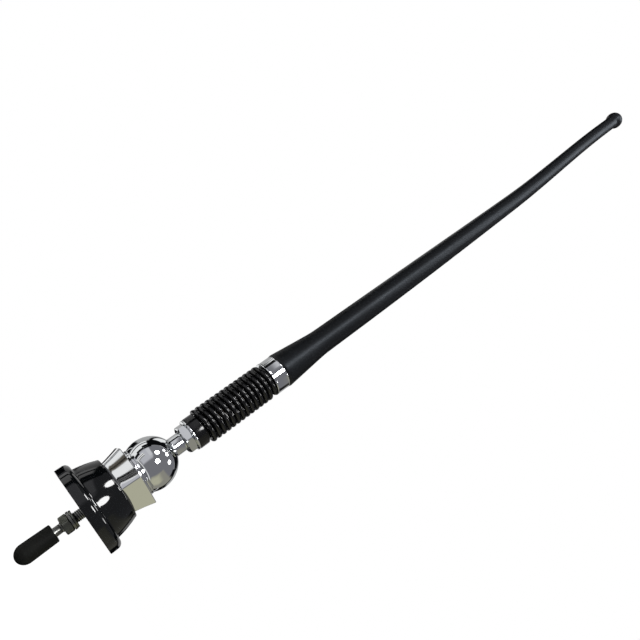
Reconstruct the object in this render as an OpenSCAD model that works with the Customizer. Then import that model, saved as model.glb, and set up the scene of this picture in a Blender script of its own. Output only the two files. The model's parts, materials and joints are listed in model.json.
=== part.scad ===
// Car aerial with a flexible rubber mast on a coil spring. A hollow slotted ball under the spring
// swivels in a hexagonal socket, and one threaded stud clamps ball, socket and base to the panel.
// Origin: middle of the base's underside, on the car's panel. +Z runs up the mast. Millimetres.

/* [Base housing] */
// Diameter of the flange that lies on the panel
flange_d = 42.9; // [41:0.1:56]
// Height of the flange
flange_h = 5.95; // [4.5:0.05:8]
// Radius of the flange's upper edge
flange_round = 2.6; // [0.5:0.1:3]
// Diameter of the housing's cone where it leaves the flange
cone_low_d = 35.6; // [33:0.1:37]
// Diameter of the cone at its top
cone_top_d = 30.1; // [29:0.1:32]
// How far the cone's side bulges outwards
cone_bulge = 0.35; // [0:0.05:1]
// Height of the housing from the panel to its top face
base_h = 16.8; // [14:0.1:24]
// Radius of the edge around the top face
top_round = 0.6; // [0.2:0.1:1.2]
// Wall thickness of the housing
wall = 2.2; // [1.5:0.1:3]
// Thickness of the deck under the socket
deck_t = 3.6; // [3:0.1:5]
// Wall of the boss around the stud
boss_wall = 2.6; // [1.5:0.1:4]
// Number of ribs between boss and wall
rib_count = 6; // [3:1:10]
// Thickness of a rib
rib_t = 1.4; // [0.8:0.1:2.5]
// Depth and half width of the groove between flange and cone
groove = 0.3; // [0.1:0.05:0.6]

/* [Seal pad] */
// Thickness of the rubber pad under the base
pad_t = 1.5; // [1:0.1:2.5]
// Rim of the flange that stays around the pad
pad_rim = 2.4; // [1.5:0.1:4]
// Gap between the pad's hole and the stud
pad_hole_gap = 0.6; // [0.3:0.1:1.5]

/* [Swivel socket] */
// Width across the corners at the foot of the hexagon
socket_low_d = 28.2; // [26:0.1:29]
// Width across the corners at its top
socket_top_d = 33; // [28:0.1:34]
// Height of the hexagon
socket_h = 9.2; // [8:0.1:14]
// Angle of a corner of the hexagon from +X
socket_turn = -23; // [-30:1:30]
// How far the corners are rounded off
socket_soft = 0.3; // [0.1:0.05:0.8]
// Height of the bevel around the hexagon's top
socket_bevel = 0.4; // [0.3:0.1:1.5]
// Diameter of the lip on top of the hexagon
lip_d = 23.3; // [23:0.1:25]
// Height of the lip
lip_h = 1; // [0.6:0.1:2]
// Width across the corners of the key that stops the socket turning in the base
key_d = 18; // [14:0.5:20]
// Height of the key
key_h = 1.5; // [0.8:0.1:2.5]
// Diameter of the seat ring on the lip
ring_d = 22.7; // [22.2:0.1:23.2]
// Height of the seat ring
ring_h = 1; // [0.6:0.1:2]
// Thickness of the seat ring at its upper edge
ring_edge = 0.28; // [0.2:0.02:0.6]

/* [Swivel ball] */
// Diameter of the ball
ball_d = 24.9; // [24:0.1:27]
// Wall thickness of the hollow ball
ball_wall = 2.85; // [2:0.05:3.5]
// Tilt of the mast to either side, in degrees
tilt_max = 45; // [20:1:48]
// Gap on each side of the stud in the ball's slot
slot_gap = 0.3; // [0.2:0.05:0.6]
// Thickness of the clamp saddle inside the ball
saddle_t = 4.5; // [3:0.1:6]
// Length of the saddle across the slot
saddle_len = 14.6; // [10:0.1:16]
// Gap between the ball and the bowl of the socket
bowl_gap = 0.3; // [0.2:0.05:0.6]

/* [Stud and fixings] */
// Thread diameter of the mounting stud
stud_d = 5; // [4.6:0.1:6]
// Diameter of the stud's upper end, riveted in the clamp saddle
rivet_d = 3.8; // [3:0.1:4.2]
// Diameter of the contact pin below the thread
pin_d = 4.06; // [3:0.02:4.4]
// Length of the contact pin
pin_len = 16; // [12:0.5:19]
// Room for the panel between the base and the washers
panel_room = 3.5; // [2:0.1:6]
// Thickness of the flat washer
flat_washer_t = 0.9; // [0.5:0.1:1.5]
// Thickness of the split lock washer
lock_washer_t = 1.3; // [0.8:0.1:2]
// Outer diameter of the washers
washer_d = 8.7; // [8.5:0.1:12]
// Width of the cut in the lock washer
lock_cut = 0.9; // [0.4:0.1:1.5]
// Width across flats of the mounting nut
nut_af = 8; // [7.6:0.1:10]
// Height of the mounting nut
nut_h = 3.5; // [2.5:0.1:5]
// Angle of a corner of the mounting nut from +X
nut_turn = 21.4; // [0:0.1:60]

/* [Pin boot] */
// Diameter of the boot near its closed end
boot_d = 8.8; // [8:0.1:11]
// Diameter of the boot at its mouth
boot_mouth_d = 8.3; // [7.6:0.1:10]
// Length of the boot
boot_len = 17; // [16:0.5:22]
// Bare pin between the nut and the boot
boot_drop = 3.6; // [1.5:0.1:5]

/* [Stem and jam nut] */
// Diameter of the stem on the ball
stem_d = 9.35; // [9:0.05:11]
// Length of the stem between ball and jam nut
stem_h = 5.75; // [4:0.05:10]
// Thread diameter of the stem in the ball
stem_low_thread_d = 6; // [4:0.5:7]
// Thread diameter of the stem above the jam nut
stem_top_thread_d = 8; // [6:0.5:8.5]
// Width across flats of the jam nut
jam_af = 13; // [12:0.1:15]
// Height of the jam nut
jam_h = 4; // [2.5:0.1:6]
// Angle of a corner of the jam nut from +X
jam_turn = -19; // [-60:1:60]
// Diameter of the chrome washer on the jam nut
jam_washer_d = 15.9; // [15:0.1:18]
// Thickness of that washer
jam_washer_t = 1.1; // [0.6:0.1:2]

/* [Spring] */
// Outer diameter of the coil spring
spring_d = 18.8; // [17:0.1:22]
// Diameter of the spring's wire
spring_wire = 2.6; // [1.6:0.05:2.7]
// Rise of the coil per turn
spring_pitch = 2.86; // [2.75:0.01:4]
// Length of the spring between collar and ferrule
spring_len = 41.3; // [34:0.1:60]
// Angle from +X at which the wire starts
spring_start = 180; // [0:5:355]
// Diameter of the collar that the spring stands on
collar_d = 16.2; // [15.6:0.1:18]
// Height of the collar
collar_h = 4.8; // [4:0.1:10]
// Length of each plug inside the spring
spigot_len = 7; // [5:0.1:9]
// Diameter of the braid inside the spring
braid_d = 3; // [2:0.1:4]
// How deep each end of the braid sits in its plug
braid_seat = 1.6; // [1:0.1:2.5]

/* [Ferrule] */
// Diameter of the chrome ferrule between spring and mast
ferrule_d = 18.3; // [17.6:0.1:20]
// Height of the ferrule
ferrule_h = 7.8; // [7:0.1:14]
// Wall thickness of the ferrule
ferrule_wall = 1; // [0.7:0.1:1.5]
// Rounding of the ferrule's rims
ferrule_round = 0.5; // [0.2:0.1:0.8]
// Height of the plug's head in the ferrule
plug_head_h = 2; // [1.5:0.1:3]

/* [Mast] */
// Length of the mast above the ferrule
mast_len = 357; // [250:1:500]
// Diameter of the mast's foot
foot_d = 18.7; // [18:0.1:20]
// Height of the foot's lower edge
foot_edge = 1.4; // [0.8:0.1:3]
// Height over which the foot narrows to the shaft
flare_len = 25.5; // [15:0.5:50]
// Diameter of the shaft above the foot
shaft_low_d = 13.8; // [10:0.1:15]
// Diameter of the shaft under the tip
shaft_top_d = 9.1; // [7:0.1:10]
// Diameter of the round tip
tip_d = 12; // [10.5:0.1:16]
// Swell of the shaft's lower half over a straight taper
shaft_belly = 0.3; // [0:0.01:0.4]
// Sideways bow of the mast at the height where its set begins
bow = 1.15; // [0:0.05:2]
// Sideways set of the rubber mast in its upper part
set_shift = 3.2; // [0:0.1:10]
// Height above the ferrule where the set begins
set_from = 205; // [100:1:220]
// Height above the ferrule where the set ends
set_to = 330; // [240:1:340]
// Diameter of the wire core in the mast
core_d = 3.2; // [2:0.1:4]
// Distance from the end of the core to the tip
core_short = 28; // [20:1:60]

/* [Hidden] */
$fn = 96;

// Shared clearances and small edges
run_gap = 0.1;
seat_gap = 0.03;
fit_gap = 0.05;
edge = 0.4;
cut = 1;

// Colours
glossy_black = "#141517";
satin_black = "#26282b";
matte_black = "#1b1c1a";
chrome_grey = "#c9cccf";
steel_grey = "#8d9092";
dull_zinc = "#4a4c49";
brass_tone = "#b49a58";

// Heights below the panel
washers_z = -panel_room;
flat_washer_z = washers_z - flat_washer_t;
lock_washer_z = flat_washer_z - lock_washer_t;
nut_z = lock_washer_z - nut_h;
thread_end_z = nut_z - edge;
pin_end_z = thread_end_z - pin_len;
boot_mouth_z = nut_z - boot_drop;
boot_end_z = boot_mouth_z - boot_len;

// Heights from the panel up to the ball
deck_z = base_h - deck_t;
socket_top_z = base_h + socket_h;
lip_top_z = socket_top_z + lip_h;
ring_top_z = lip_top_z + ring_h;
ball_r = ball_d / 2;
ball_in_r = ball_r - ball_wall;
seat_r = ring_d / 2 - ring_edge;
ball_z = ring_top_z + sqrt(ball_r * ball_r - seat_r * seat_r);
saddle_r = ball_in_r - run_gap;
saddle_top_z = ball_z - saddle_r + saddle_t;
rivet_z = ball_z - saddle_r + edge;
stud_top_z = saddle_top_z + cut;

// Heights from the ball up to the mast
ball_flat_z = ball_z + sqrt(ball_r * ball_r - stem_d * stem_d / 4);
neck_top_z = ball_flat_z + stem_h;
jam_top_z = neck_top_z + jam_h;
collar_z = jam_top_z + jam_washer_t;
spring_z = collar_z + collar_h;
spigot_top_z = spring_z + spigot_len;
ferrule_z = spring_z + spring_len;
upper_spigot_z = ferrule_z - spigot_len;
ferrule_lip_z = ferrule_z + ferrule_wall + 2 * seat_gap;
plug_head_top_z = ferrule_lip_z + plug_head_h;
mast_z = ferrule_z + ferrule_h;
sleeve_z = plug_head_top_z + fit_gap;

// Radii that mating pieces share
stud_r = stud_d / 2;
stud_hole_r = stud_r + run_gap;
pad_r = flange_d / 2 - pad_rim;
spring_in_r = spring_d / 2 - spring_wire;
spigot_r = spring_in_r - fit_gap;
ferrule_in_r = ferrule_d / 2 - ferrule_wall;
plug_head_r = ferrule_in_r - fit_gap;
core_r = core_d / 2;
core_hole_r = core_r + fit_gap;
stem_thread_top_z = spigot_top_z - braid_seat - cut;
core_z = upper_spigot_z + braid_seat + cut;

// Mast form
tip_r = tip_d / 2;
tip_h = mast_len - tip_r;
core_top_h = mast_len - core_short;
mast_sides = 20;
core_rings = 24;
flare_rings = 7;
shaft_rings = 22;
wire_sides = 8;
wire_rings_per_turn = 18;
blend_r = 0.12;

function mix(a, b, t) = a + (b - a) * t;
function ease(t) = let (u = max(0, min(1, t))) u * u * (3 - 2 * u);
function soft_max(a, b, k) = (a + b) / 2 + sqrt((a - b) * (a - b) / 4 + k * k);

// Sideways place of the mast's centre line at height h above the ferrule
function set_x(h) = let (up = max(0, h))
    -(bow * pow(up / set_from, 2) + set_shift * ease((up - set_from) / (set_to - set_from)));

// Outer radius of the mast at height h above the ferrule
function taper_r(h) = let (t = h / (tip_h - tip_r))
    mix(shaft_low_d, shaft_top_d, t) / 2 + shaft_belly * sin(360 * t);
function flare_r(h) = mix(foot_d, shaft_low_d, (h - foot_edge) / flare_len) / 2;
function tip_at(h) = sqrt(max(0, tip_r * tip_r - (h - tip_h) * (h - tip_h)));
function mast_r(h) = h > tip_h ? tip_at(h)
    : soft_max(soft_max(taper_r(h), flare_r(h), blend_r), tip_at(h), blend_r);

// Closed skin over a row of rings, each with the same number of points
module skin(rings) {
    sides = len(rings[0]);
    bands = [for (k = [0 : len(rings) - 2], i = [0 : sides - 1]) let (j = (i + 1) % sides)
        [k * sides + i, (k + 1) * sides + i, (k + 1) * sides + j, k * sides + j]];
    halves = [for (q = bands, h = [0, 1]) h == 0 ? [q[0], q[1], q[2]] : [q[0], q[2], q[3]]];
    first = [for (i = [0 : sides - 1]) i];
    last = [for (i = [sides - 1 : -1 : 0]) (len(rings) - 1) * sides + i];
    polyhedron(points = [for (ring = rings, p = ring) p], faces = concat(halves, [first, last]));
}

// Level ring around the mast's centre line
function mast_ring(h, r) = [for (i = [0 : mast_sides - 1]) let (a = 360 * i / mast_sides)
    [set_x(h) + r * cos(a), r * sin(a), mast_z + h]];

// Ring across the spring's wire at turn angle a
function coil_ring(a) = let (
    r = (spring_d - spring_wire) / 2,
    rise = spring_pitch / 360,
    start_z = spring_z + spring_wire / 2 + seat_gap,
    out = [cos(a), sin(a), 0],
    slope = atan(rise * 180 / PI / r),
    along = [-sin(a) * cos(slope), cos(a) * cos(slope), sin(slope)],
    side = cross(along, out))
    [for (i = [0 : wire_sides - 1]) let (b = 360 * (i + 0.5) / wire_sides)
        [r * cos(a), r * sin(a), start_z + rise * a]
        + spring_wire / 2 * (cos(b) * out + sin(b) * side)];

// Hexagon nut with both rims chamfered
module hex_nut(af, h, bore_r) {
    corner_r = af / 2 / cos(30);
    difference() {
        intersection() {
            cylinder(r = corner_r, h = h, $fn = 6);
            rotate_extrude() polygon([[0, 0], [af / 2 - edge / 4, 0], [corner_r, edge * 1.5],
                [corner_r, h - edge * 1.5], [af / 2 - edge / 4, h], [0, h]]);
        }
        translate([0, 0, -cut]) cylinder(r = bore_r, h = h + 2 * cut);
    }
}

module washer(outer_r, inner_r, t) {
    difference() {
        cylinder(r = outer_r, h = t);
        translate([0, 0, -cut]) cylinder(r = inner_r, h = t + 2 * cut);
    }
}

// Outline of the housing, from the panel up the flange and the bulged cone to the top face
function housing_outline() = let (
    r = flange_d / 2, low = cone_low_d / 2, top = cone_top_d / 2)
    concat([[0, 0], [r, 0]],
        [for (a = [0 : 15 : 90]) [r - flange_round * (1 - cos(a)), flange_h - flange_round * (1 - sin(a))]],
        [[low + 2 * groove, flange_h], [low + groove, flange_h - groove]],
        [for (t = [0 : 1 / 6 : 1]) [mix(low, top, t) + cone_bulge * 4 * t * (1 - t),
            mix(flange_h, base_h - top_round, t)]],
        [for (a = [22.5 : 22.5 : 90]) [top - top_round * (1 - cos(a)), base_h - top_round * (1 - sin(a))]],
        [[0, base_h]]);

module base_housing() {
    in_low = cone_low_d / 2 - wall;
    in_top = cone_top_d / 2 - wall;
    boss_r = stud_hole_r + boss_wall;
    color(glossy_black) difference() {
        rotate_extrude() polygon(housing_outline());
        translate([0, 0, -cut]) cylinder(r = pad_r + fit_gap, h = pad_t + cut);
        difference() {
            rotate_extrude() polygon([[0, pad_t - edge], [in_low, pad_t - edge], [in_low, flange_h],
                [in_top, deck_z], [0, deck_z]]);
            translate([0, 0, pad_t]) cylinder(r = boss_r, h = base_h);
            for (i = [0 : rib_count - 1])
                rotate([0, 0, 360 / rib_count * i])
                    translate([0, -rib_t / 2, pad_t]) cube([flange_d, rib_t, base_h]);
        }
        translate([0, 0, -cut]) cylinder(r = stud_hole_r, h = base_h + 2 * cut);
        translate([0, 0, base_h - key_h - fit_gap]) rotate([0, 0, socket_turn])
            cylinder(r = key_d / 2 + fit_gap, h = key_h + fit_gap + cut, $fn = 6);
    }
}

module seal_pad() {
    color(satin_black) washer(pad_r, stud_r + pad_hole_gap, pad_t);
}

// Hexagon whose six flat sides lean outwards, with soft corners and a bevelled top
module flared_hexagon() {
    low = socket_low_d / 2;
    top = socket_top_d / 2;
    flat_low = low * cos(30);
    flat_top = top * cos(30);
    intersection() {
        intersection_for (i = [0 : 2])
            rotate([90, 0, 60 * i]) linear_extrude(height = 2 * socket_top_d, center = true)
                polygon([[-flat_low, 0], [flat_low, 0], [flat_top, socket_h], [-flat_top, socket_h]]);
        rotate_extrude() polygon([[0, 0], [low - socket_soft - edge, 0], [low - socket_soft, edge],
            [top - socket_soft, socket_h - socket_bevel], [flat_top - edge, socket_h], [0, socket_h]]);
    }
}

module swivel_socket() {
    color(chrome_grey) difference() {
        union() {
            translate([0, 0, base_h]) rotate([0, 0, socket_turn + 30]) flared_hexagon();
            translate([0, 0, base_h]) cylinder(r = lip_d / 2, h = socket_h + lip_h);
            translate([0, 0, base_h - key_h]) rotate([0, 0, socket_turn])
                cylinder(r = key_d / 2, h = key_h + edge, $fn = 6);
        }
        translate([0, 0, ball_z]) sphere(r = ball_r + bowl_gap);
        translate([0, 0, base_h - key_h - cut]) cylinder(r = stud_hole_r, h = socket_h);
    }
}

module seat_ring() {
    color(chrome_grey) difference() {
        translate([0, 0, lip_top_z]) cylinder(r = ring_d / 2, h = ring_h);
        translate([0, 0, ball_z]) sphere(r = ball_r + seat_gap);
    }
}

// Turned in one piece: rivet on top, thread below it, smooth contact pin as the lower end
module mounting_stud() {
    pin_r = pin_d / 2;
    rivet_r = rivet_d / 2;
    color(steel_grey) rotate_extrude() polygon([[0, pin_end_z], [pin_r - 2 * edge, pin_end_z],
        [pin_r, pin_end_z + 2 * edge], [pin_r, thread_end_z], [stud_r, thread_end_z + edge],
        [stud_r, rivet_z - seat_gap], [rivet_r, rivet_z - seat_gap], [rivet_r, stud_top_z - edge],
        [rivet_r - edge, stud_top_z], [0, stud_top_z]]);
}

// Bar with a spherical underside, small enough to pass the slot lengthwise and then bridge it.
// The groove across its underside takes the stud's shoulder.
module clamp_saddle() {
    color(steel_grey) difference() {
        intersection() {
            translate([0, 0, ball_z]) sphere(r = saddle_r);
            translate([-stud_r - slot_gap / 2, -saddle_len / 2, ball_z - ball_r])
                cube([stud_d + slot_gap, saddle_len, saddle_top_z - ball_z + ball_r]);
        }
        translate([-stud_d, -stud_r - seat_gap, rivet_z - ball_r]) cube([2 * stud_d, stud_d + 2 * seat_gap, ball_r]);
        translate([0, 0, ball_z - ball_r]) cylinder(r = rivet_d / 2 + seat_gap, h = 2 * ball_r);
    }
}

// Room that the stud sweeps as the ball tilts both ways
module tilt_slot() {
    slot_w = stud_d + 2 * slot_gap;
    reach = 2 * ball_r;
    rotate([90, 0, 0]) linear_extrude(height = slot_w, center = true)
        polygon([[0, 0], [-reach * sin(tilt_max), -reach * cos(tilt_max)], [0, -reach / cos(tilt_max)],
            [reach * sin(tilt_max), -reach * cos(tilt_max)]]);
    for (side = [-1, 1])
        rotate([0, side * tilt_max, 0]) translate([0, 0, -reach]) cylinder(r = slot_w / 2, h = reach);
}

module swivel_ball() {
    color(chrome_grey) translate([0, 0, ball_z]) difference() {
        sphere(r = ball_r);
        sphere(r = ball_in_r);
        translate([-ball_r, -ball_r, ball_flat_z - ball_z]) cube([ball_d, ball_d, ball_r]);
        cylinder(r = stem_low_thread_d / 2 + seat_gap, h = ball_r);
        tilt_slot();
    }
}

module ball_stem() {
    r = stem_d / 2;
    low_r = stem_low_thread_d / 2;
    top_r = stem_top_thread_d / 2;
    low_z = ball_z + ball_in_r + edge;
    color(chrome_grey) rotate_extrude() polygon([[0, low_z], [low_r - edge, low_z], [low_r, low_z + edge],
        [low_r, ball_flat_z + seat_gap], [r, ball_flat_z + seat_gap], [r, neck_top_z - edge],
        [r - edge, neck_top_z], [top_r, neck_top_z], [top_r, stem_thread_top_z - edge],
        [top_r - edge, stem_thread_top_z], [0, stem_thread_top_z]]);
}

module jam_nut() {
    color(chrome_grey) translate([0, 0, neck_top_z]) rotate([0, 0, jam_turn])
        hex_nut(jam_af, jam_h, stem_top_thread_d / 2 + seat_gap);
}

module jam_washer() {
    color(chrome_grey) translate([0, 0, jam_top_z])
        washer(jam_washer_d / 2, stem_top_thread_d / 2 + run_gap, jam_washer_t);
}

// Collar that carries the spring, with a plug that its lowest turns grip
module lower_plug() {
    r = collar_d / 2;
    color(glossy_black) difference() {
        rotate_extrude() polygon([[0, collar_z], [r - edge, collar_z], [r, collar_z + edge],
            [r, spring_z - edge], [r - edge, spring_z], [spigot_r, spring_z],
            [spigot_r, spigot_top_z - 2 * edge], [spigot_r - 2 * edge, spigot_top_z], [0, spigot_top_z]]);
        translate([0, 0, collar_z - cut])
            cylinder(r = stem_top_thread_d / 2 + seat_gap, h = stem_thread_top_z + edge - collar_z + cut);
        translate([0, 0, spigot_top_z - braid_seat]) cylinder(r = braid_d / 2 + seat_gap, h = 2 * braid_seat);
    }
}

module coil_spring() {
    turns = (spring_len - spring_wire - 2 * seat_gap) / spring_pitch;
    steps = ceil(turns * wire_rings_per_turn);
    color(glossy_black) rotate([0, 0, spring_start])
        skin([for (k = [0 : steps]) coil_ring(360 * turns * k / steps)]);
}

module inner_braid() {
    low_z = spigot_top_z - braid_seat + seat_gap;
    color(brass_tone) translate([0, 0, low_z])
        cylinder(r = braid_d / 2, h = upper_spigot_z + braid_seat - seat_gap - low_z);
}

module upper_plug() {
    color(brass_tone) difference() {
        rotate_extrude() polygon([[0, upper_spigot_z], [spigot_r - 2 * edge, upper_spigot_z],
            [spigot_r, upper_spigot_z + 2 * edge], [spigot_r, ferrule_lip_z], [plug_head_r, ferrule_lip_z],
            [plug_head_r, plug_head_top_z], [0, plug_head_top_z]]);
        translate([0, 0, upper_spigot_z - cut]) cylinder(r = braid_d / 2 + seat_gap, h = cut + braid_seat);
        translate([0, 0, core_z - seat_gap]) cylinder(r = core_hole_r, h = ferrule_h + spigot_len);
    }
}

// Bright sleeve over the joint of spring and mast, with a lip that the plug's head pulls against
module ferrule() {
    r = ferrule_d / 2;
    color(chrome_grey) rotate_extrude() polygon(concat(
        [[spigot_r + fit_gap, ferrule_z]],
        [for (a = [-90 : 22.5 : 0]) [r - ferrule_round * (1 - cos(a)), ferrule_z + ferrule_round * (1 + sin(a))]],
        [for (a = [0 : 22.5 : 90]) [r - ferrule_round * (1 - cos(a)), mast_z - ferrule_round * (1 - sin(a))]],
        [[ferrule_in_r, mast_z], [ferrule_in_r, ferrule_z + ferrule_wall],
            [spigot_r + fit_gap, ferrule_z + ferrule_wall]]));
}

// Heights of the core's rings above the ferrule, shared by the core and the sleeve's inside
core_steps = [for (k = [0 : core_rings]) core_top_h * k / core_rings];

module mast_core() {
    color(steel_grey) skin(concat([mast_ring(core_z - mast_z, core_r)],
        [for (h = core_steps) mast_ring(h, core_r)]));
}

// Rubber moulded round the core: up the inside, round the foot and along the shaft to the tip
module mast_sleeve() {
    flare_end = foot_edge + 1.2 * flare_len;
    shaft_end = tip_h - tip_r;
    inside = [for (k = [core_rings : -1 : 0]) mast_ring(
        core_steps[k] + (k == core_rings ? fit_gap : 0), core_hole_r)];
    foot = [mast_ring(sleeve_z - mast_z, core_hole_r), mast_ring(sleeve_z - mast_z, plug_head_r),
        mast_ring(seat_gap, plug_head_r), mast_ring(seat_gap, ferrule_d / 2)];
    flare = [for (k = [0 : flare_rings]) let (h = mix(foot_edge, flare_end, k / flare_rings))
        mast_ring(h, mast_r(h))];
    shaft = [for (k = [1 : shaft_rings]) let (h = mix(flare_end, shaft_end, k / shaft_rings))
        mast_ring(h, mast_r(h))];
    tip = [for (a = [-60 : 15 : 75]) let (h = tip_h + tip_r * sin(a)) mast_ring(h, mast_r(h))];
    end = [mast_ring(tip_h + tip_r * sin(84), tip_r * cos(84))];
    color(satin_black) skin(concat(inside, foot, flare, shaft, tip, end));
}

module flat_washer() {
    color(dull_zinc) translate([0, 0, flat_washer_z])
        washer(washer_d / 2 - edge / 2, stud_hole_r + run_gap, flat_washer_t);
}

module lock_washer() {
    color(steel_grey) translate([0, 0, lock_washer_z]) difference() {
        washer(washer_d / 2, stud_hole_r + run_gap, lock_washer_t);
        rotate([0, 0, nut_turn]) translate([0, -lock_cut / 2, -cut])
            cube([washer_d, lock_cut, lock_washer_t + 2 * cut]);
    }
}

module mounting_nut() {
    color(dull_zinc) translate([0, 0, nut_z]) rotate([0, 0, nut_turn])
        hex_nut(nut_af, nut_h, stud_r + fit_gap);
}

// Soft cap over the contact pin
module vinyl_boot() {
    r = boot_d / 2;
    mouth_r = boot_mouth_d / 2;
    color(matte_black) difference() {
        rotate_extrude() polygon(concat(
            [for (a = [-90 : 11.25 : 0]) [r * cos(a), boot_end_z + r * (1 + sin(a))]],
            [[mouth_r, boot_mouth_z - edge], [mouth_r - edge, boot_mouth_z], [0, boot_mouth_z]]));
        translate([0, 0, pin_end_z - edge])
            cylinder(r = pin_d / 2 + fit_gap, h = boot_mouth_z - pin_end_z + edge + cut);
    }
}

base_housing();
seal_pad();
swivel_socket();
seat_ring();
mounting_stud();
clamp_saddle();
swivel_ball();
ball_stem();
jam_nut();
jam_washer();
lower_plug();
coil_spring();
inner_braid();
upper_plug();
ferrule();
mast_core();
mast_sleeve();
flat_washer();
lock_washer();
mounting_nut();
vinyl_boot();
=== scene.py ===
"""Looks of a car antenna: rubber mast, coil spring, chrome swivel ball and glossy black base."""

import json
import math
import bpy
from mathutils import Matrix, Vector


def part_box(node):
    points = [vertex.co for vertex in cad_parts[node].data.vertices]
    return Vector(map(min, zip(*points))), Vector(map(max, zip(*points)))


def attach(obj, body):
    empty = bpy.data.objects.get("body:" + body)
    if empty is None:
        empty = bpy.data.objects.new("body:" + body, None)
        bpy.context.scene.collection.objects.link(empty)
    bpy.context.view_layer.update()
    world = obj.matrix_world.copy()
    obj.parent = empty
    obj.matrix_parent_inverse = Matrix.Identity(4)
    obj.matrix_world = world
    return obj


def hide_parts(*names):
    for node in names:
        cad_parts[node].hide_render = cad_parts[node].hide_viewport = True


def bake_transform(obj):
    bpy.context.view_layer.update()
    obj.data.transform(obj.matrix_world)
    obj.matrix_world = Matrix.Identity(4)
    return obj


bl_info = {
    "name": "Car Antenna",
    "version": (1, 0, 0),
    "blender": (4, 5, 0),
    "location": "View3D > Sidebar > Antenna",
    "description": "Builds the visible pieces of a car antenna around its packed model",
    "category": "Object",
}

import bmesh
import bpy
from bpy.props import FloatProperty, FloatVectorProperty, IntProperty, PointerProperty
from bpy.types import Operator, Panel, PropertyGroup
from mathutils import Matrix, Vector

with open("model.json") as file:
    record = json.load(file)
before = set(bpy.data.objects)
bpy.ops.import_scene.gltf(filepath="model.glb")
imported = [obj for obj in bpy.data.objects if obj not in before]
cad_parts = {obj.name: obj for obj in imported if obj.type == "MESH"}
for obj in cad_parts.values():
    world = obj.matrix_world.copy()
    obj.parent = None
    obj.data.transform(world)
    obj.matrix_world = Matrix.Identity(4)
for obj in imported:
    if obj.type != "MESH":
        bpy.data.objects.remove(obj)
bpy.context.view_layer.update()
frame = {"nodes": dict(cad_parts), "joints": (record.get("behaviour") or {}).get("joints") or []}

MM = 0.001

# Angles in degrees from +X to a corner of each hexagon
SOCKET_TURN = -23
JAM_TURN = -19
NUT_TURN = 21.4
# Sides of a turned piece
ROUND = 128

# The photograph, in pixels: its size, the camera's focal length and the two places that fix the camera
PHOTO_SIZE = 640
PHOTO_FOCAL = 590
BASE_PIXEL = (82.4, 512.7)
MAST_PIXEL = (569.7, 162.6)
SENSOR_WIDTH = 36
# Millimetres from the base's axis to the camera, which is level with the base's underside
CAMERA_DISTANCE = 283.8


def linear(hex_colour):
    """A colour written as sRGB hex, turned to linear RGBA."""
    parts = [int(hex_colour[i:i + 2], 16) / 255 for i in (1, 3, 5)]
    return tuple(c / 12.92 if c <= 0.04045 else ((c + 0.055) / 1.055) ** 2.4 for c in parts) + (1.0,)


def reach(node):
    """Radius along Y, lowest and highest z of a node that stands round the Z axis."""
    low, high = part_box(node)
    return (high.y - low.y) / 2, low.z, high.z


def joint(name):
    return next(j for j in frame["joints"] if j["name"] == name)


def ball_centre():
    """Height of the ball's centre, which the tilt joint turns about."""
    return joint("swivel_tilt")["pos_m"][2]


def length(name, description, default_mm):
    return FloatProperty(name=name, description=description, default=default_mm * MM,
                         min=0.0, unit="LENGTH", precision=5)


def colour(name, description, hex_colour):
    return FloatVectorProperty(name=name, description=description, size=4, subtype="COLOR",
                               default=linear(hex_colour), min=0.0, max=1.0)


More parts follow.
